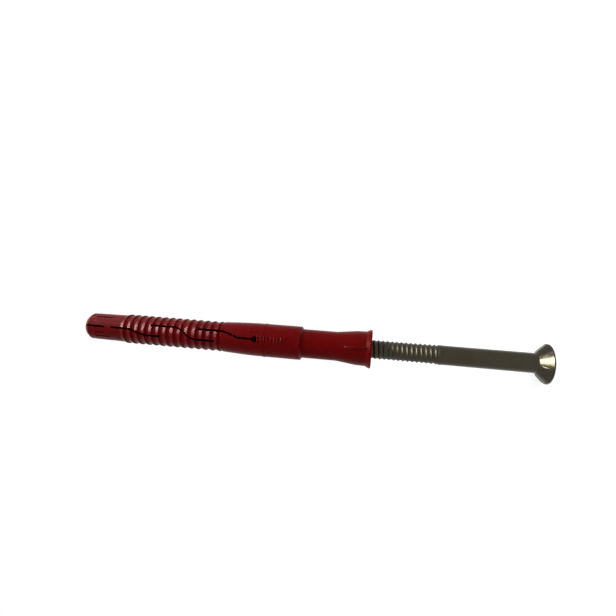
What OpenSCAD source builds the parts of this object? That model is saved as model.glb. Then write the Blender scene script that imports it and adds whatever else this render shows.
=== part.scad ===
// Frame anchor for through fixing: a ribbed and slotted plastic sleeve with its countersunk screw.
// The anchor stands on the head of its screw, with its tip up and one row of slots facing front.
// The screw is pushed half way in, as it is before it is driven home.

/* [Sleeve lengths] */
// Length of the sleeve, from its tip to the face of its collar
sleeve_l = 100; // [97:1:160]
// Length of the bevelled nose
nose_l = 1.2; // [0.6:0.1:2]
// Length of the plain tip, with its nose
tip_l = 9.6; // [8.4:0.2:11]
// Length of the taper between the plain tip and the teeth
lead_l = 4.2; // [2:0.2:5]
// Number of teeth along the expansion zone
rib_count = 14; // [10:1:14]
// Distance from one tooth to the next
rib_pitch = 2.6; // [2.2:0.1:2.7]
// Length over which the body swells behind the teeth
swell_l = 14.6; // [10:0.2:17]
// Length of the thickest stretch
grip_l = 10.8; // [6:0.2:12]
// Length of the bevel behind the thickest stretch
step_l = 2.2; // [1:0.1:3]
// Length of the flare that leads up to the collar, with the collar
flare_l = 11.4; // [9:0.2:13]
// Length of the level part of the flare
level_l = 1.4; // [0.6:0.2:2]
// Length of the lip that opens the flare out to the rim
lip_l = 2.6; // [1.6:0.2:3]
// Length of the straight rim of the collar
rim_l = 1; // [0.5:0.1:1.6]
// Length of the solid end of the tip, ahead of the bore
plug_l = 5; // [4:0.2:6]

/* [Sleeve diameters] */
// Diameter of the face at the very tip
nose_d = 7.4; // [6.4:0.1:8.4]
// Diameter of the plain tip
tip_d = 9.1; // [8.6:0.1:9.4]
// Diameter of the plain tip where it meets the taper
tip_end_d = 9.3; // [9.1:0.1:9.6]
// Diameter over the teeth
rib_d = 10.2; // [10:0.1:10.6]
// Depth of the gaps between the teeth
rib_depth = 0.35; // [0.2:0.05:0.5]
// Diameter of the thickest stretch
grip_d = 11.2; // [10.8:0.1:12]
// Diameter of the raised ring on the swelling
ring_d = 11.4; // [11.3:0.1:11.8]
// Diameter of the neck
neck_d = 9.6; // [9:0.1:10.2]
// Diameter of the level part of the flare
flare_d = 11.2; // [10.6:0.1:11.8]
// Diameter of the collar
collar_d = 12.6; // [12.4:0.1:14]
// Diameter of the narrow bore that the screw spreads
pilot_d = 5.2; // [4.8:0.1:5.4]
// Width of the collar's face outside its countersink
seat_rim = 0.4; // [0.2:0.05:0.8]

/* [Sleeve slots] */
// Number of rows of slots around the sleeve
slot_rows = 3; // [1:2:3]
// Width of every slot
slot_w = 0.7; // [0.4:0.05:0.85]
// Height of the upper and lower slot lanes over the middle one
lane_h = 1.8; // [1.4:0.1:2]
// Length of a slot's bend between two lanes
bend_l = 8.6; // [7:0.2:9]
// Station where the slit in the tip starts
slit_s = 1; // [0.8:0.1:2]
// Station where the slit in the tip ends
slit_end = 7.4; // [6:0.2:8]
// Solid web between the tip slit and the first slot
web_l = 3; // [2:0.2:5]
// Length of the first slot
slot1_l = 18; // [16:0.5:20]
// Length of the second slot
slot2_l = 22.5; // [20:0.5:24]
// Length of the third slot
slot3_l = 20; // [19:0.5:22]
// Straight run of the first slot before its bend
run1_l = 5; // [3:0.2:6]
// Straight run of the second slot before its bend
run2_l = 8; // [6:0.2:10]
// Straight run of the third slot before its bend
run3_l = 7.4; // [6:0.2:9]
// Overlap of the first and second slots
lap12_l = 3.3; // [2:0.1:5]
// Overlap of the second and third slots
lap23_l = 5.7; // [4:0.1:7]
// Diameter of the hole that ends the third slot
relief_d = 2; // [1.2:0.1:2.6]

/* [Sleeve details] */
// Width of the small grooves along the tip
groove_w = 0.5; // [0.3:0.05:0.7]
// Depth of the small grooves along the tip
groove_depth = 0.3; // [0.15:0.05:0.5]
// Length of the long grooves of the tip
groove_l = 6.2; // [4:0.2:7]
// Length of the short grooves beside the slit
short_groove_l = 3.2; // [2:0.2:4]
// Angle of the long grooves from the tip slit
groove_turn = 46; // [35:1:55]
// Angle of the short grooves from the tip slit
short_groove_turn = 27; // [20:1:30]
// Thickness of the two gussets under the collar
gusset_t = 0.7; // [0.4:0.1:1.2]
// Height of the gussets over the flare
gusset_h = 0.3; // [0.2:0.05:0.4]
// Length of the gussets
gusset_l = 7.8; // [5:0.2:9]

/* [Screw] */
// Length of the screw, from its point to the face of its head
screw_l = 105; // [90:1:108]
// How far the head's face stands out of the collar
head_out = 53.6; // [45:0.2:56]
// Diameter of the plain shank
shank_d = 6.25; // [5.6:0.05:6.6]
// Outer diameter of the thread
thread_d = 6.3; // [5.6:0.05:6.8]
// Length of the thread, with the point
thread_l = 73; // [60:1:76]
// Length of the point
point_l = 4; // [2:0.2:6]
// Diameter of the flat end of the point
point_d = 2; // [1:0.1:3]
// Room around the thread inside the sleeve
bore_gap = 0.15; // [0.1:0.05:0.3]

/* [Screw head] */
// Diameter of the head
head_d = 12.4; // [11.6:0.1:12.4]
// Thickness of the straight edge of the head
head_edge = 0.45; // [0.3:0.05:0.8]
// Bevel around the face of the head
face_bevel = 0.12; // [0.05:0.01:0.2]
// Radius of the fillet under the head
head_fillet = 0.8; // [0.3:0.1:1.2]
// Number of small ribs under the head, an even number
nib_count = 8; // [4:2:10]
// Thickness of the small ribs
nib_t = 0.5; // [0.3:0.1:0.8]
// Height of the small ribs over the cone
nib_h = 0.2; // [0.1:0.05:0.3]
// Width of the six-lobe recess across its points
recess_d = 6.6; // [5.6:0.1:6.8]
// Depth of the six-lobe recess
recess_depth = 2.4; // [1.6:0.1:2.6]

/* [Hidden] */
$fn = 96;

// Colours of the moulding and of the plated steel
sleeve_colour = [0.50, 0.09, 0.10];
screw_colour = [0.40, 0.39, 0.36];

// Depth of a cut that runs right through
cut = 2 * max(collar_d, grip_d);

// Stations along the sleeve, counted from its tip
rib_s = tip_l + lead_l;
rib_end = rib_s + rib_count * rib_pitch;
grip_s = rib_end + swell_l;
grip_end = grip_s + grip_l;
neck_s = grip_end + step_l;
rim_s = sleeve_l - rim_l;
lip_s = rim_s - lip_l;
level_s = lip_s - level_l;
flare_s = sleeve_l - flare_l;
slot1_s = slit_end + web_l;
slot2_s = slot1_s + slot1_l - lap12_l;
slot3_s = slot2_s + slot2_l - lap23_l;
relief_s = slot3_s + slot3_l;

// Stations along the screw
face_s = sleeve_l + head_out;
point_s = face_s - screw_l;
thread_end = point_s + thread_l;
runout_l = 0.4;
cone_l = (head_d - shank_d) / 2;
edge_s = face_s - head_edge;
cone_s = edge_s - cone_l;

// The bore starts in a cone behind the tip's solid end and is narrow up to the point of the screw,
// where a funnel opens it, and it ends in a countersink
bore_d = max(thread_d, shank_d) + 2 * bore_gap;
funnel_l = 4;
funnel_s = point_s - funnel_l / 2;
seat_d = collar_d - 2 * seat_rim;
seat_l = (seat_d - bore_d) / 2;

// Teeth rise towards the head and drop steeply, so that they hold against pulling out
ramp_share = 0.42;
crest_share = 0.12;
drop_share = 0.06;
root_r = rib_d / 2 - rib_depth;
function tooth(i) = let (
    s = rib_s + i * rib_pitch,
    crest_s = s + ramp_share * rib_pitch,
    drop_s = crest_s + crest_share * rib_pitch
) [
    [s, root_r],
    [crest_s, rib_d / 2],
    [drop_s, rib_d / 2],
    [drop_s + drop_share * rib_pitch, root_r]
];

// A quarter wave swells the body from the teeth up to the raised ring
swell_steps = 6;
ring_w = 0.5;
last_rise = 0.2;
function swell(i) = let (t = i / swell_steps) [
    rib_end + t * (swell_l - ring_w),
    rib_d / 2 + (grip_d - rib_d) / 2 * sin(90 * t)
];

sleeve_outside = concat(
    [[0, 0], [0, nose_d / 2], [nose_l, tip_d / 2], [tip_l, tip_end_d / 2]],
    [for (i = [0 : rib_count - 1]) for (p = tooth(i)) p],
    [[rib_end - last_rise, root_r]],
    [for (i = [0 : swell_steps]) swell(i)],
    [[grip_s - ring_w, ring_d / 2], [grip_s, ring_d / 2], [grip_s, grip_d / 2]],
    [[grip_end, grip_d / 2], [neck_s, neck_d / 2]],
    [[flare_s, neck_d / 2], [level_s, flare_d / 2], [lip_s, flare_d / 2]],
    [[rim_s, collar_d / 2], [sleeve_l, collar_d / 2]]
);
sleeve_inside = [
    [sleeve_l, seat_d / 2],
    [sleeve_l - seat_l, bore_d / 2],
    [funnel_s + funnel_l, bore_d / 2],
    [funnel_s, pilot_d / 2],
    [plug_l + pilot_d / 2, pilot_d / 2],
    [plug_l, 0]
];

// Fillet between the shank and the cone of the head, tangent to both
head_turn = 45;
fillet_steps = 4;
fillet_s = cone_s - head_fillet * tan(head_turn / 2);
function fillet(i) = let (a = head_turn * i / fillet_steps) [
    fillet_s + head_fillet * sin(a),
    shank_d / 2 + head_fillet * (1 - cos(a))
];

screw_outside = concat(
    [[point_s, 0], [point_s, point_d / 2], [point_s + point_l, thread_d / 2]],
    [[thread_end, thread_d / 2], [thread_end + runout_l, shank_d / 2]],
    [for (i = [0 : fillet_steps]) fillet(i)],
    [[edge_s, head_d / 2], [face_s - face_bevel, head_d / 2]],
    [[face_s, head_d / 2 - face_bevel], [face_s, 0]]
);

// Every shape is built lying along X, a station being its X, and is then stood on the screw's head
module stood_up() {
    translate([0, 0, face_s])
        rotate([0, 90, -90])
            children();
}

// Turns a profile of [station, radius] points about the anchor's axis
module turned(profile) {
    rotate([0, 90, 0])
        rotate_extrude()
            polygon([for (p = profile) [p[1], p[0]]]);
}

// Steps in each round stretch of a slot
slot_steps = 6;

// Points of a slot's centre line as [x, y, fall], where fall is the angle that the line drops by
function lane_path(s, l, run, y_from, y_to) =
    let (
        drop = y_from - y_to,
        turn = 2 * atan(drop / bend_l),
        r = bend_l / (2 * sin(turn)),
        into = [for (i = [0 : slot_steps]) turn * i / slot_steps],
        out = [for (i = [slot_steps - 1 : -1 : 0]) turn * i / slot_steps]
    )
    concat(
        [[s, y_from, 0]],
        [for (a = into) [s + run + r * sin(a), y_from - r * (1 - cos(a)), a]],
        [for (a = out) [s + run + bend_l - r * sin(a), y_to + r * (1 - cos(a)), a]],
        [[s + l, y_to, 0]]
    );

// Point beside the centre line, turned away from the line's direction by an angle
function beside(p, turn) = [p[0] + slot_w / 2 * cos(turn - p[2]), p[1] + slot_w / 2 * sin(turn - p[2])];

// A slot with round ends along a centre line, cut from the bore out through one wall
module slot(path) {
    last = len(path) - 1;
    upper = [for (i = [1 : last - 1]) beside(path[i], 90)];
    lower = [for (i = [last - 1 : -1 : 1]) beside(path[i], -90)];
    far_end = [for (i = [0 : slot_steps]) beside(path[last], 90 - 180 * i / slot_steps)];
    near_end = [for (i = [0 : slot_steps]) beside(path[0], 270 - 180 * i / slot_steps)];
    linear_extrude(cut)
        polygon(concat(upper, far_end, lower, near_end));
}

// Turns copies about the axis, one for each row of slots, so that no row faces another across the bore
module each_row() {
    for (row = [0 : slot_rows - 1])
        rotate([row * 360 / slot_rows, 0, 0])
            children();
}

// A row of slots, from the slit in the tip to the hole that ends the third slot
module slot_row() {
    slot([[slit_s, 0, 0], [slit_end, 0, 0]]);
    slot(lane_path(slot1_s, slot1_l, run1_l, 0, -lane_h));
    slot(lane_path(slot2_s, slot2_l, run2_l, lane_h, -lane_h));
    slot(lane_path(slot3_s, slot3_l, run3_l, lane_h, 0));
    translate([relief_s, 0, 0])
        cylinder(d = relief_d, h = cut);
}

// A shallow groove along the tip, turned away from the tip slit
module tip_groove(s, l, turn) {
    rotate([turn, 0, 0])
        translate([s, -groove_w / 2, tip_d / 2 - groove_depth])
            cube([l, groove_w, cut]);
}

module tip_grooves() {
    long_s = tip_l - groove_l;
    tip_groove(long_s, groove_l, groove_turn);
    tip_groove(long_s, groove_l, -groove_turn);
    tip_groove(slit_end - short_groove_l, short_groove_l, short_groove_turn);
}

// Radius of the sloping part of the flare
function flare_r(s) = (neck_d + (flare_d - neck_d) * (s - flare_s) / (level_s - flare_s)) / 2;

// Two thin gussets that carry the flare up to the collar, rooted in the wall
module gussets() {
    start = max(rim_s - gusset_l, flare_s);
    rise = 1;
    root = 0.4;
    intersection() {
        turned([
            [start, flare_r(start) - root],
            [start, flare_r(start)],
            [start + rise, flare_r(start + rise) + gusset_h],
            [level_s, flare_d / 2 + gusset_h],
            [rim_s, flare_d / 2 + gusset_h],
            [rim_s, flare_d / 2 - root],
            [level_s, flare_d / 2 - root]
        ]);
        translate([start, -gusset_t / 2, -cut / 2])
            cube([sleeve_l, gusset_t, cut]);
    }
}

// Plastic sleeve, moulded in one piece
module sleeve() {
    color(sleeve_colour)
        stood_up() {
            difference() {
                turned(concat(sleeve_outside, sleeve_inside));
                each_row() {
                    slot_row();
                    tip_grooves();
                }
            }
            gussets();
        }
}

// Small ribs on the cone under the head, by thin slabs through the axis
module nibs() {
    slabs = nib_count / 2;
    first_turn = 12;
    intersection() {
        turned([
            [cone_s + nib_h, shank_d / 2],
            [cone_s + nib_h, shank_d / 2 + 2 * nib_h],
            [edge_s - nib_h, head_d / 2],
            [edge_s, head_d / 2],
            [edge_s, shank_d / 2]
        ]);
        for (i = [0 : slabs - 1])
            rotate([first_turn + i * 180 / slabs, 0, 0])
                translate([cone_s, -nib_t / 2, -cut / 2])
                    cube([cone_l, nib_t, cut]);
    }
}

// Six-lobe drive recess in the face of the head
module recess() {
    lobe_share = 0.2;
    core_share = 0.76;
    lobe_d = recess_d * lobe_share;
    translate([face_s - recess_depth, 0, 0])
        rotate([0, 90, 0]) {
            cylinder(d = recess_d * core_share, h = cut);
            for (turn = [0 : 60 : 300])
                rotate([0, 0, turn])
                    translate([(recess_d - lobe_d) / 2, 0, 0])
                        cylinder(d = lobe_d, h = cut);
        }
}

// Steel screw with its countersunk head
module screw() {
    color(screw_colour)
        stood_up()
            difference() {
                union() {
                    turned(screw_outside);
                    nibs();
                }
                recess();
            }
}

sleeve();
screw();
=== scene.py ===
# Frame anchor: a moulded polyamide sleeve, its plated screw half driven, standing on its head
import bmesh
import bpy
import math
from mathutils import Matrix, Vector


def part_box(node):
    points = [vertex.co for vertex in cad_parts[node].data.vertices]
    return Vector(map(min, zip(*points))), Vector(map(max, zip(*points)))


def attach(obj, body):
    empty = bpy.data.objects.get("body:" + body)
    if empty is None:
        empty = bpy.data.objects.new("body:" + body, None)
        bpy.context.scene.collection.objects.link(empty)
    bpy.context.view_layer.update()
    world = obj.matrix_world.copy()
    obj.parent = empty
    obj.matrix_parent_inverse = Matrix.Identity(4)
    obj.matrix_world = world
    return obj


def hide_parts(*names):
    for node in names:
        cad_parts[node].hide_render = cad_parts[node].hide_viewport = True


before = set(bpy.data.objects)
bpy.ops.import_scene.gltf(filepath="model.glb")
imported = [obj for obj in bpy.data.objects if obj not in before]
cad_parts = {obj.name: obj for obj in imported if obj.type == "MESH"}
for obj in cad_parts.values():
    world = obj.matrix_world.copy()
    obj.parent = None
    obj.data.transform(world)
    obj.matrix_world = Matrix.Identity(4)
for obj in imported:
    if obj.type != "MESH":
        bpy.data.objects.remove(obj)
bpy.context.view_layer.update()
mm = 0.001
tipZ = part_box("sleeve")[1].z  # stations count down from here in millimetres, as on the real sleeve
print("frame loaded: the anchor is %.1f mm tall" % (tipZ / mm))


def linear(hexColour):
    # From an sRGB hex code to the linear colour that a socket takes
    channels = [int(hexColour[i:i + 2], 16) / 255 for i in (0, 2, 4)]
    return (*[c / 12.92 if c <= 0.04045 else ((c + 0.055) / 1.055) ** 2.4 for c in channels], 1)


def addNode(tree, kind, inputs=None, **settings):
    node = tree.nodes.new(kind)
    for name, value in settings.items():
        setattr(node, name, value)
    for key, value in (inputs or {}).items():
        if isinstance(value, bpy.types.NodeSocket):
            tree.links.new(value, node.inputs[key])
        else:
            node.inputs[key].default_value = value
    return node


def newMaterial(name):
    material = bpy.data.materials.new(name)
    material.use_nodes = True
    material.node_tree.nodes.clear()
    return material, material.node_tree


def newNodeGroup(name, numbers):
    tree = bpy.data.node_groups.new(name, "GeometryNodeTree")
    tree.interface.new_socket("Geometry", in_out="INPUT", socket_type="NodeSocketGeometry")
    for number, kind in numbers.items():
        tree.interface.new_socket(number, in_out="INPUT", socket_type="NodeSocket" + kind)
    tree.interface.new_socket("Geometry", in_out="OUTPUT", socket_type="NodeSocketGeometry")
    return tree, addNode(tree, "NodeGroupInput").outputs


def closeGroup(tree, geometry, finish):
    real = addNode(tree, "GeometryNodeRealizeInstances", {"Geometry": geometry})
    painted = addNode(tree, "GeometryNodeSetMaterial", {
        "Geometry": real.outputs[0], "Material": finish})
    addNode(tree, "NodeGroupOutput", {"Geometry": painted.outputs[0]})


def meshObject(name, mesh):
    piece = bpy.data.objects.new(name, mesh)
    bpy.context.scene.collection.objects.link(piece)
    return piece


def madeByNodes(name, mesh, tree, sizes):
    raw = meshObject(name + "Raw", mesh)
    modifier = raw.modifiers.new("nodes", "NODES")
    modifier.node_group = tree
    for item in tree.interface.items_tree:
        if item.in_out == "INPUT" and item.name in sizes:
            modifier[item.identifier] = sizes[item.name]
    graph = bpy.context.evaluated_depsgraph_get()
    made = bpy.data.meshes.new_from_object(raw.evaluated_get(graph), depsgraph=graph)
    made.name = name
    bpy.data.objects.remove(raw)
    return meshObject(name, made)


def smoothByAngle(piece, degrees):
    bpy.context.view_layer.objects.active = piece
    piece.select_set(True)
    bpy.ops.object.shade_smooth_by_angle(angle=math.radians(degrees))
    piece.select_set(False)


def outwardMesh(name, corners, faces):
    # Corners are in millimetres
    mesh = bpy.data.meshes.new(name)
    mesh.from_pydata([tuple(mm * v for v in corner) for corner in corners], [], faces)
    mesh.validate()
    shell = bmesh.new()
    shell.from_mesh(mesh)
    bmesh.ops.recalc_face_normals(shell, faces=shell.faces)
    shell.to_mesh(mesh)
    shell.free()
    return mesh


ridgeSection = ((-1, 0), (-0.86, 0.55), (-0.45, 0.92), (0, 1), (0.45, 0.92), (0.86, 0.55), (1, 0))


def ridgeMesh(name, stops, halfWidth, height, sink):
    # A low rounded ridge, its foot sunk, along stops of (middle, outward, sideways, height share)
    corners, faces = [], []
    for middle, outward, sideways, share in stops:
        for across, up in ridgeSection:
            rise = up * height * share if up else -sink
            corners.append(middle + sideways * across * halfWidth + outward * rise)
    n = len(corners) // len(stops)
    for i in range(len(stops) - 1):
        for k in range(n):
            j = (k + 1) % n
            faces.append((i * n + k, i * n + j, (i + 1) * n + j, (i + 1) * n + k))
    last = (len(stops) - 1) * n
    faces += [tuple(range(n)), tuple(last + k for k in range(n))]
    return outwardMesh(name, corners, faces)


def rowTree(name, finish):
    # Copies a shape up the anchor, turning each copy about the axis as it goes
    tree, given = newNodeGroup(name, {"Count": "Int", "Spacing": "Float", "Turn": "Float"})
    step = addNode(tree, "ShaderNodeCombineXYZ", {2: given["Spacing"]})
    line = addNode(tree, "GeometryNodeMeshLine", {
        "Count": given["Count"], "Offset": step.outputs[0]})
    index = addNode(tree, "GeometryNodeInputIndex")
    angle = addNode(tree, "ShaderNodeMath", {
        0: index.outputs[0], 1: given["Turn"]}, operation="MULTIPLY")
    euler = addNode(tree, "ShaderNodeCombineXYZ", {2: angle.outputs[0]})
    turned = addNode(tree, "FunctionNodeEulerToRotation", {0: euler.outputs[0]})
    copies = addNode(tree, "GeometryNodeInstanceOnPoints", {
        "Points": line.outputs[0], "Instance": given["Geometry"], "Rotation": turned.outputs[0]})
    closeGroup(tree, copies.outputs[0], finish)
    return tree


# Sleeve: the frame's own moulding, welded so that it shades smoothly, and crisper in two places.
# All sizes are in mm, and a station is the way down from the tip.
sleeve = {
    "weldGap": 0.002,
    "sharpAngle": 13,  # degrees, so that the slopes of the teeth stay crisp
    "trimAngle": 50,  # degrees, the same for the small raised pieces
    "cutSnap": 0.0001,
    "outlineReach": 0.03,  # how near to the outline a corner counts as lying on it
    "crisped": (  # stretches of the outline as (station, radius), each with the crisper one
        (((75.6, 5.6), (77.8, 4.8)), ((75.6, 5.6), (76.7, 5.6), (77.3, 4.8), (77.8, 4.8))),
        (((95.0, 5.6), (96.4, 5.6), (99.0, 6.3), (100.0, 6.3)),
         ((95.0, 5.6), (98.2, 5.68), (99.4, 6.3), (100.0, 6.3))),
    ),
    "colour": "630205",
    "deepColour": "4F0203",
    "flowSize": 9,  # of the clouds that the melt leaves in the colour
    "edgeRadius": 0.06,
    "sparkGrain": 0.18,  # between the grains that a spark-eroded mould leaves
    "grainDepth": 0.02,
    "grainStrength": 0.05,
    "roughness": (0.26, 0.34),
    "bending": 1.53,  # index of refraction of polyamide
    "glossTint": "FFC6C2",
    "gloss": 0.055,  # how much of a plain plastic's shine is left on the dull skin
    "glow": 0.25,  # share of light that passes through the skin, as it does in polyamide
    "glowDepth": 0.8,
    "ridgeSteps": 12,  # of a ridge round the skin
    "ridgeEnd": 0.35,  # share of the height that is left at its two ends
    "ridgeSink": 0.1,
    "barRadius": 5.6,
    "barCount": 9,
    "barStation": 62.9,
    "barSpacing": 1.13,
    "barHalfLength": 1.35,
    "barHalfWidth": 0.2,
    "barHeight": 0.17,
    "pipCount": 2,
    "pipRadius": 5.54,
    "pipStation": 60.1,
    "pipSpacing": 1.8,
    "pipTurn": 28,  # degrees from the front
    "pipHalfLength": 0.3,
    "pipHalfWidth": 0.3,
    "pipHeight": 0.2,
    "stepLine": (76.6, 5.58, 2.3, 0.18, 0.1),  # station, radius, half length, half width and height
    "ribCount": 2,
    "ribCrown": (  # station, radius and share of the height
        (91.4, 5.15, 0.2), (92.2, 5.53, 1), (95, 5.88, 1), (97.6, 5.88, 1), (98.4, 5.9, 0.4)),
    "ribHalfWidth": 0.42,
    "ribHeight": 0.3,
    "ribSink": 0.2,
}


def mouldedPolyamide():
    # Polyamide 6, coloured through: a dull satin skin with a faint grain and soft corners
    material, tree = newMaterial("mouldedRedPolyamide")
    place = addNode(tree, "ShaderNodeTexCoord").outputs["Object"]
    flow = addNode(tree, "ShaderNodeTexNoise", {
        "Vector": place, "Scale": 1 / (sleeve["flowSize"] * mm), "Detail": 3.0})
    tint = addNode(tree, "ShaderNodeMix", {
        "Factor": flow.outputs["Fac"],
        "A": linear(sleeve["colour"]), "B": linear(sleeve["deepColour"])}, data_type="RGBA")
    grain = addNode(tree, "ShaderNodeTexNoise", {
        "Vector": place, "Scale": 1 / (sleeve["sparkGrain"] * mm), "Detail": 2.0})
    satin = addNode(tree, "ShaderNodeMapRange", {
        "Value": flow.outputs["Fac"],
        "To Min": sleeve["roughness"][0], "To Max": sleeve["roughness"][1]})
    corners = addNode(tree, "ShaderNodeBevel", {"Radius": sleeve["edgeRadius"] * mm}, samples=4)
    skin = addNode(tree, "ShaderNodeBump", {
        "Height": grain.outputs["Fac"], "Normal": corners.outputs["Normal"],
        "Strength": sleeve["grainStrength"], "Distance": sleeve["grainDepth"] * mm})
    surface = addNode(tree, "ShaderNodeBsdfPrincipled", {
        "Base Color": tint.outputs[2], "Roughness": satin.outputs[0], "Normal": skin.outputs[0],
        "IOR": sleeve["bending"], "Specular IOR Level": sleeve["gloss"],
        "Specular Tint": linear(sleeve["glossTint"]),
        "Subsurface Weight": sleeve["glow"], "Subsurface Scale": sleeve["glowDepth"] * mm})
    addNode(tree, "ShaderNodeOutputMaterial", {"Surface": surface.outputs[0]})
    return material


def radiusAt(outline, station):
    for (front, start), (back, end) in zip(outline, outline[1:]):
        if station <= back:
            return start + (end - start) * (station - front) / (back - front)


def crispOutline(shell, old, new):
    # Rings are cut in where the new outline bends, then corners on the old one go to the new one
    for station, _ in new[1:-1]:
        bmesh.ops.bisect_plane(
            shell, geom=shell.verts[:] + shell.edges[:] + shell.faces[:],
            dist=sleeve["cutSnap"] * mm, plane_co=(0, 0, tipZ - station * mm), plane_no=(0, 0, 1))
    for vertex in shell.verts:
        station, radius = (tipZ - vertex.co.z) / mm, vertex.co.xy.length / mm
        if not old[0][0] < station < old[-1][0]:
            continue
        if abs(radius - radiusAt(old, station)) < sleeve["outlineReach"]:
            vertex.co.xy *= radiusAt(new, station) / radiusAt(old, station)


def weldedCopy(node, name):
    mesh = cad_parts[node].data.copy()
    mesh.name = name
    shell = bmesh.new()
    shell.from_mesh(mesh)
    bmesh.ops.remove_doubles(shell, verts=shell.verts, dist=sleeve["weldGap"] * mm)
    for old, new in sleeve["crisped"]:
        crispOutline(shell, old, new)
    shell.to_mesh(mesh)
    shell.free()
    mesh.attributes.remove(mesh.attributes["custom_normal"])  # it was for the unwelded corners
    mesh.materials.clear()
    return meshObject(name, mesh)


def sleeveRidge(name, station, radius, halfLength, halfWidth, height, turnFromFront=0):
    # A short ridge across the sleeve, its length measured round the skin
    stops = []
    steps = sleeve["ridgeSteps"]
    for i in range(steps + 1):
        t = 2 * i / steps - 1
        turn = math.radians(turnFromFront - 90) + t * halfLength / radius
        outward = Vector((math.cos(turn), math.sin(turn), 0))
        middle = outward * radius + Vector((0, 0, tipZ / mm - station))
        share = sleeve["ridgeEnd"] if abs(t) == 1 else 1
        stops.append((middle, outward, Vector((0, 0, 1)), share))
    return ridgeMesh(name, stops, halfWidth, height, sleeve["ridgeSink"])


polyamide = mouldedPolyamide()
sleeveMoulding = weldedCopy("sleeve", "sleeveMoulding")
sleeveMoulding.data.materials.append(polyamide)
smoothByAngle(sleeveMoulding, sleeve["sharpAngle"])
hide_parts("sleeve")
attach(sleeveMoulding, "root")

rowOnSleeve = rowTree("rowOnSleeve", polyamide)
bar = sleeveRidge(
    "bar", sleeve["barStation"], sleeve["barRadius"],
    sleeve["barHalfLength"], sleeve["barHalfWidth"], sleeve["barHeight"])
pip = sleeveRidge(
    "pip", sleeve["pipStation"], sleeve["pipRadius"],
    sleeve["pipHalfLength"], sleeve["pipHalfWidth"], sleeve["pipHeight"], sleeve["pipTurn"])
line = sleeveRidge("line", *sleeve["stepLine"])
crown = ridgeMesh("crown", [
    (Vector((0, -radius, tipZ / mm - station)), Vector((0, -1, 0)), Vector((1, 0, 0)), share)
    for station, radius, share in sleeve["ribCrown"]],
    sleeve["ribHalfWidth"], sleeve["ribHeight"], sleeve["ribSink"])
for name, shape, count, spacing, turn in (
        ("gripBars", bar, sleeve["barCount"], sleeve["barSpacing"], 0.0),
        ("mouldPips", pip, sleeve["pipCount"], sleeve["pipSpacing"], 0.0),
        ("stepLine", line, 1, 0.0, 0.0),
        ("flareRibs", crown, sleeve["ribCount"], 0.0, 2 * math.pi / sleeve["ribCount"])):
    row = madeByNodes(name, shape, rowOnSleeve, {
        "Count": count, "Spacing": -spacing * mm, "Turn": turn})
    smoothByAngle(row, sleeve["trimAngle"])
    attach(row, "root")
print("sleeve: %d faces" % len(sleeveMoulding.data.polygons))

# Screw: a turned outline, then a rolled thread and the ribs under the head.
# All sizes are in mm, and a height is over the face of the head.
screw = {
    "length": 105.0,
    "shankRadius": 3.125,
    "threadLength": 73.0,
    "threadPitch": 1.47,
    "threadDepth": 0.34,
    "threadSwell": 0.02,  # by which rolling widens the bar
    "threadLead": 1.0,  # of the shank that is ringed before the thread
    "crestPower": 2.6,  # higher is a narrower ridge
    "ringStep": 0.1225,  # a twelfth of the pitch
    "pointLength": 4.0,
    "pointRadius": 1.0,
    "pointEdge": (0.5, 0.25),  # its length and its width
    "headRadius": 6.2,
    "headEdge": 0.45,
    "faceBevel": 0.12,
    "headRing": 0.7,  # share of the head's radius at which a ring parts its face
    "headFillet": 0.8,
    "filletSteps": 8,
    "recessRadius": 3.3,
    "recessDepth": 2.4,
    "recessFloor": (0.35, 0.8),  # rings of its floor, as shares of its radius
    "recessWave": 0.17,  # share by which the six lobes stand out
    "recessLobes": 6,
    "nibCount": 8,
    "nibTurn": 30,  # degrees from the front to the first rib under the head
    "nibStops": ((0, 0), (0.12, 1), (0.5, 1), (0.9, 1), (1, 0.4)),  # shares of length and height
    "nibRoom": (0.5, 0.1),  # from the shank to the rib, and from the rib to the edge of the head
    "nibHalfWidth": 0.25,
    "nibHeight": 0.17,
    "nibSink": 0.1,
    "segments": 96,
    "sharpAngle": 35,  # degrees
    "colour": "423E33",
    "dullColour": "322F27",
    "cloudSize": 5,  # of the dull patches in the plating
    "roughness": (0.2, 0.3),
    "drawLine": 0.35,  # between the lines that turning leaves
    "drawLength": 6,
    "drawDepth": 0.01,
    "drawStrength": 0.15,
    "rolledFrom": 31.5,  # height at which the duller rolled part begins
    "rolledTo": 32.5,  # and at which it is fully dull
    "rolledDull": 0.2,  # added to the roughness there
    # Painted shade: from these heights up, the screw inside the sleeve is darkened to a near black
    "insideShadeColour": "0C0908",
    "insideShadeFrom": 53.0,  # height just inside the collar
    "insideShadeTo": 62.0,
}


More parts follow.
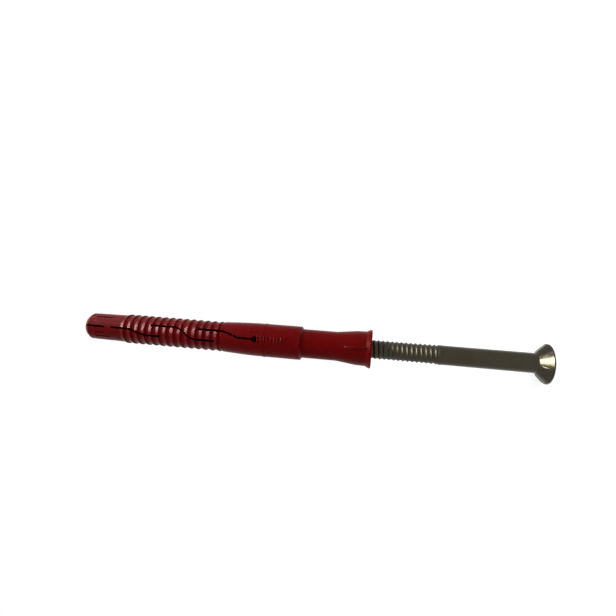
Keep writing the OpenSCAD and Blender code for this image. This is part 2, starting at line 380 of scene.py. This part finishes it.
def platedSteel():
    # Low carbon steel, turned and plated, then dulled to a dark olive grey with soft turning lines
    material, tree = newMaterial("dulledPlatedSteel")
    place = addNode(tree, "ShaderNodeTexCoord").outputs["Object"]
    rings = addNode(tree, "ShaderNodeMapping", {
        "Vector": place,
        "Scale": [1 / (screw[size] * mm) for size in ("drawLength", "drawLength", "drawLine")]})
    lines = addNode(tree, "ShaderNodeTexNoise", {
        "Vector": rings.outputs[0], "Scale": 1.0, "Detail": 3.0})
    cloud = addNode(tree, "ShaderNodeTexNoise", {
        "Vector": place, "Scale": 1 / (screw["cloudSize"] * mm), "Detail": 4.0})
    tint = addNode(tree, "ShaderNodeMix", {
        "Factor": cloud.outputs["Fac"],
        "A": linear(screw["colour"]), "B": linear(screw["dullColour"])}, data_type="RGBA")
    gloss = addNode(tree, "ShaderNodeMapRange", {
        "Value": cloud.outputs["Fac"],
        "To Min": screw["roughness"][0], "To Max": screw["roughness"][1]})
    height = addNode(tree, "ShaderNodeSeparateXYZ", {0: place}).outputs[2]
    rolled = addNode(tree, "ShaderNodeMapRange", {
        "Value": height, "From Min": screw["rolledFrom"] * mm, "From Max": screw["rolledTo"] * mm,
        "To Max": screw["rolledDull"]})
    dulled = addNode(tree, "ShaderNodeMath", {
        0: gloss.outputs[0], 1: rolled.outputs[0]}, operation="ADD")
    # Painted shade: the part of the screw inside the sleeve fades to a near black, standing in for
    # the sleeve's shade
    inside = addNode(tree, "ShaderNodeMapRange", {
        "Value": height, "From Min": screw["insideShadeFrom"] * mm, "From Max": screw["insideShadeTo"] * mm})
    insideShaded = addNode(tree, "ShaderNodeMix", {
        "Factor": inside.outputs[0], "A": tint.outputs[2], "B": linear(screw["insideShadeColour"])},
        data_type="RGBA")
    skin = addNode(tree, "ShaderNodeBump", {
        "Height": lines.outputs["Fac"],
        "Strength": screw["drawStrength"], "Distance": screw["drawDepth"] * mm})
    surface = addNode(tree, "ShaderNodeBsdfPrincipled", {
        "Base Color": insideShaded.outputs[2], "Roughness": dulled.outputs[0], "Normal": skin.outputs[0],
        "Metallic": 1.0})
    addNode(tree, "ShaderNodeOutputMaterial", {"Surface": surface.outputs[0]})
    return material


def screwRings():
    # Rings of (height, radius, share of the lobes' wave), from the recess's middle to the point
    s = screw
    inner, outer = s["recessFloor"]
    rings = [(s["recessDepth"], inner * s["recessRadius"], 0)]
    rings += [(s["recessDepth"], outer * s["recessRadius"], 1)]
    rings += [(s["recessDepth"], s["recessRadius"], 1), (0, s["recessRadius"], 1)]
    rings += [(0, s["headRing"] * s["headRadius"], 0), (0, s["headRadius"] - s["faceBevel"], 0)]
    rings += [(s["faceBevel"], s["headRadius"], 0), (s["headEdge"], s["headRadius"], 0)]
    cone = 45  # degrees from the axis, and so as high as it is wide
    coneEnd = s["headEdge"] + s["headRadius"] - s["shankRadius"]
    filletStart = coneEnd + s["headFillet"] * math.tan(math.radians(cone / 2))
    steps = s["filletSteps"]
    for i in range(steps + 1):
        turn = math.radians(cone * (1 - i / steps))
        rings.append((filletStart - s["headFillet"] * math.sin(turn),
                      s["shankRadius"] + s["headFillet"] * (1 - math.cos(turn)), 0))
    ringed = s["length"] - s["threadLength"] - s["threadLead"]
    rings.append((ringed, s["shankRadius"], 0))
    count = round((s["threadLength"] - s["pointLength"] + s["threadLead"]) / s["ringStep"])
    for i in range(1, count + 1):
        rings.append((ringed + i * s["ringStep"], s["shankRadius"] + s["threadSwell"], 0))
    edgeLength, edgeWidth = s["pointEdge"]
    rings.append((s["length"] - edgeLength, s["pointRadius"] + edgeWidth, 0))
    rings.append((s["length"], s["pointRadius"], 0))
    return rings


def latheMesh(name, rings):
    n = screw["segments"]
    corners, faces = [], []
    for height, radius, wave in rings:
        for k in range(n):
            turn = 2 * math.pi * k / n
            dip = 0.5 - 0.5 * math.cos(screw["recessLobes"] * turn)
            r = radius * (1 - screw["recessWave"] * wave * dip)
            corners.append((r * math.cos(turn), r * math.sin(turn), height))
    for i in range(len(rings) - 1):
        for k in range(n):
            j = (k + 1) % n
            faces.append((i * n + k, i * n + j, (i + 1) * n + j, (i + 1) * n + k))
    last = (len(rings) - 1) * n
    faces += [tuple(range(n)), tuple(last + k for k in range(n))]
    return outwardMesh(name, corners, faces)


def threadTree(finish):
    # Sinks a rounded right-hand groove into a turned bar, between two heights
    tree, given = newNodeGroup("rolledThread", {
        "Pitch": "Float", "Depth": "Float", "Start": "Float", "End": "Float", "Crest": "Float"})
    place = addNode(tree, "GeometryNodeInputPosition").outputs[0]
    xyz = addNode(tree, "ShaderNodeSeparateXYZ", {0: place}).outputs
    turn = addNode(tree, "ShaderNodeMath", {0: xyz[1], 1: xyz[0]}, operation="ARCTAN2")
    along = addNode(tree, "ShaderNodeMath", {0: xyz[2], 1: given["Pitch"]}, operation="DIVIDE")
    phase = addNode(tree, "ShaderNodeMath", {
        0: turn.outputs[0], 1: -1 / (2 * math.pi), 2: along.outputs[0]}, operation="MULTIPLY_ADD")
    radians = addNode(tree, "ShaderNodeMath", {
        0: phase.outputs[0], 1: 2 * math.pi}, operation="MULTIPLY")
    wave = addNode(tree, "ShaderNodeMath", {0: radians.outputs[0]}, operation="COSINE")
    share = addNode(tree, "ShaderNodeMath", {
        0: wave.outputs[0], 1: 0.5, 2: 0.5}, operation="MULTIPLY_ADD")
    crest = addNode(tree, "ShaderNodeMath", {
        0: share.outputs[0], 1: given["Crest"]}, operation="POWER")
    groove = addNode(tree, "ShaderNodeMath", {0: 1.0, 1: crest.outputs[0]}, operation="SUBTRACT")
    fullFrom = addNode(tree, "ShaderNodeMath", {
        0: given["Start"], 1: given["Pitch"]}, operation="ADD")
    fullTo = addNode(tree, "ShaderNodeMath", {
        0: given["End"], 1: given["Pitch"]}, operation="SUBTRACT")
    sinks = [groove.outputs[0], given["Depth"]]
    for edge, full in ((given["Start"], fullFrom), (given["End"], fullTo)):
        fade = addNode(tree, "ShaderNodeMapRange", {
            "Value": xyz[2], "From Min": edge, "From Max": full.outputs[0]},
            interpolation_type="SMOOTHSTEP")
        sinks.append(fade.outputs[0])
    depth = -1.0
    for factor in sinks:
        product = addNode(tree, "ShaderNodeMath", {0: depth, 1: factor}, operation="MULTIPLY")
        depth = product.outputs[0]
    flat = addNode(tree, "ShaderNodeCombineXYZ", {0: xyz[0], 1: xyz[1]})
    radial = addNode(tree, "ShaderNodeVectorMath", {0: flat.outputs[0]}, operation="NORMALIZE")
    offset = addNode(tree, "ShaderNodeVectorMath", {
        0: radial.outputs[0], "Scale": depth}, operation="SCALE")
    cut = addNode(tree, "GeometryNodeSetPosition", {
        "Geometry": given["Geometry"], "Offset": offset.outputs[0]})
    closeGroup(tree, cut.outputs[0], finish)
    return tree


def nibMesh():
    # One thin rib on the cone under the head, from the fillet to the edge
    s = screw
    outward = Vector((1, 0, 1)).normalized()
    inner = s["shankRadius"] + s["nibRoom"][0]
    outer = s["headRadius"] - s["nibRoom"][1]
    stops = []
    for t, share in s["nibStops"]:
        radius = inner + t * (outer - inner)
        middle = Vector((radius, 0, s["headEdge"] + s["headRadius"] - radius))
        stops.append((middle, outward, Vector((0, 1, 0)), share))
    shape = ridgeMesh("nib", stops, s["nibHalfWidth"], s["nibHeight"], s["nibSink"])
    shape.transform(Matrix.Rotation(math.radians(s["nibTurn"] - 90), 4, "Z"))
    return shape


steel = platedSteel()
screwBar = madeByNodes("screwBar", latheMesh("screwBlank", screwRings()), threadTree(steel), {
    "Pitch": screw["threadPitch"] * mm, "Depth": screw["threadDepth"] * mm,
    "Crest": screw["crestPower"],
    "Start": (screw["length"] - screw["threadLength"]) * mm,
    "End": (screw["length"] - screw["pointEdge"][0]) * mm})
headNibs = madeByNodes("headNibs", nibMesh(), rowTree("ringUnderHead", steel), {
    "Count": screw["nibCount"], "Spacing": 0.0, "Turn": 2 * math.pi / screw["nibCount"]})
for piece in (screwBar, headNibs):
    smoothByAngle(piece, screw["sharpAngle"])
    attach(piece, "root")
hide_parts("screw")
print("screw: %d faces" % len(screwBar.data.polygons))

# Studio: a white floor in a white room. The suns light the colours, the strip and the wing only
# add glints, and the tip lamp adds none. Places are in metres, and all aim at the anchor's middle.
studio = {
    "floorHalf": 3.0,  # m
    "floorPaint": 0.45,  # share of light that the floor's paint throws back
    "floorLift": 0.5,  # white that it adds where it is seen, so that the two make plain white
    "roomLight": 0.35,  # white that the room adds to the lamps
    "keyPlace": (0.13, -0.3, 0.7),
    "keySpread": 24,  # degrees
    "keyStrength": 2.2,
    "sidePlace": (0.75, -0.45, 0.48),
    "sideSpread": 60,  # degrees
    "sideStrength": 1.1,
    "backPlace": (0.3, 0.8, 0.5),
    "backSpread": 60,  # degrees
    "backStrength": 1.8,
    "stripPlace": (0.18, -0.257, 0.72),
    "stripSize": (0.4, 0.12),  # m
    "stripPower": 12.0,  # W
    "tipPlace": (0.12, -0.08, 0.25),
    "tipSize": (0.05, 0.05),  # m
    "tipPower": 0.13,  # W
    "wingPlace": (0.6, -0.1, 0.8),
    "wingSize": (0.7, 0.12),  # m
    "wingPower": 2.0,  # W
}


def seenByEye(tree):
    # 1 for rays that come from the camera, or from it by way of metal and glass
    path = addNode(tree, "ShaderNodeLightPath").outputs
    plain = addNode(tree, "ShaderNodeMath", {
        0: path["Is Camera Ray"], 1: path["Is Glossy Ray"]}, operation="MAXIMUM")
    return addNode(tree, "ShaderNodeMath", {
        0: plain.outputs[0], 1: path["Is Transmission Ray"]}, operation="MAXIMUM").outputs[0]


def whiteFloor():
    material, tree = newMaterial("paleFloor")
    paint = addNode(tree, "ShaderNodeBsdfDiffuse", {"Color": (*[studio["floorPaint"]] * 3, 1)})
    lift = addNode(tree, "ShaderNodeMath", {
        0: seenByEye(tree), 1: studio["floorLift"]}, operation="MULTIPLY")
    white = addNode(tree, "ShaderNodeEmission", {"Strength": lift.outputs[0]})
    both = addNode(tree, "ShaderNodeAddShader", {0: paint.outputs[0], 1: white.outputs[0]})
    addNode(tree, "ShaderNodeOutputMaterial", {"Surface": both.outputs[0]})
    return material


def buildStage():
    half = studio["floorHalf"]
    corners = [(-half, -half, 0), (half, -half, 0), (half, half, 0), (-half, half, 0)]
    mesh = bpy.data.meshes.new("floor")
    mesh.from_pydata(corners, [], [(0, 1, 2, 3)])
    mesh.materials.append(whiteFloor())
    meshObject("floor", mesh)


def buildRoom():
    world = bpy.data.worlds.new("room")
    world.use_nodes = True
    tree = world.node_tree
    tree.nodes.clear()
    fill = addNode(tree, "ShaderNodeBackground", {
        "Color": (1, 1, 1, 1), "Strength": studio["roomLight"]})
    white = addNode(tree, "ShaderNodeBackground", {
        "Color": (1, 1, 1, 1), "Strength": 1.0})
    mixed = addNode(tree, "ShaderNodeMixShader", {
        0: seenByEye(tree), 1: fill.outputs[0], 2: white.outputs[0]})
    addNode(tree, "ShaderNodeOutputWorld", {"Surface": mixed.outputs[0]})
    bpy.context.scene.world = world


def addLamp(name, kind, strength):
    lamp = bpy.data.objects.new(name, bpy.data.lights.new(name + "Lamp", kind))
    lamp.location = studio[name + "Place"]
    away = (lamp.location - Vector((0, 0, tipZ / 2))).normalized()
    across = (Vector((1, 0, 0)) - away * away.x).normalized()
    lamp.rotation_euler = Matrix((across, away.cross(across), away)).transposed().to_euler()
    lamp.data.energy = strength
    bpy.context.scene.collection.objects.link(lamp)
    return lamp


buildStage()
buildRoom()
for name in ("key", "side", "back"):
    sun = addLamp(name, "SUN", studio[name + "Strength"])
    sun.data.angle = math.radians(studio[name + "Spread"])
    sun.visible_glossy = False
for name in ("strip", "wing", "tip"):
    panel = addLamp(name, "AREA", studio[name + "Power"])
    panel.data.shape = "RECTANGLE"
    panel.data.size, panel.data.size_y = studio[name + "Size"]
    panel.visible_diffuse = name == "tip"
    panel.visible_glossy = name != "tip"

# Camera: level with the collar, and turned on its side, so that the tip is on the left
view = {
    "lens": 23.38,  # mm on the 36 mm sensor, which is 400 px of focal length in a 616 px frame
    "nearest": 0.005,  # m
    "place": (0, -0.1332, 0.05663),
    "aim": (0.012, 0, 0.075625),
    "roll": 85.87,  # degrees
}


def addCamera():
    camera = bpy.data.objects.new("camera", bpy.data.cameras.new("camera"))
    camera.data.lens = view["lens"]
    camera.data.clip_start = view["nearest"]
    forward = Vector(view["aim"]) - Vector(view["place"])
    upright = forward.to_track_quat("-Z", "Y").to_matrix()
    rolled = Matrix.Rotation(math.radians(view["roll"]), 3, forward) @ upright
    camera.matrix_world = Matrix.Translation(view["place"]) @ rolled.to_4x4()
    bpy.context.scene.collection.objects.link(camera)
    bpy.context.scene.camera = camera


addCamera()
bpy.context.scene.view_settings.view_transform = "Standard"
print("studio and camera are in place")
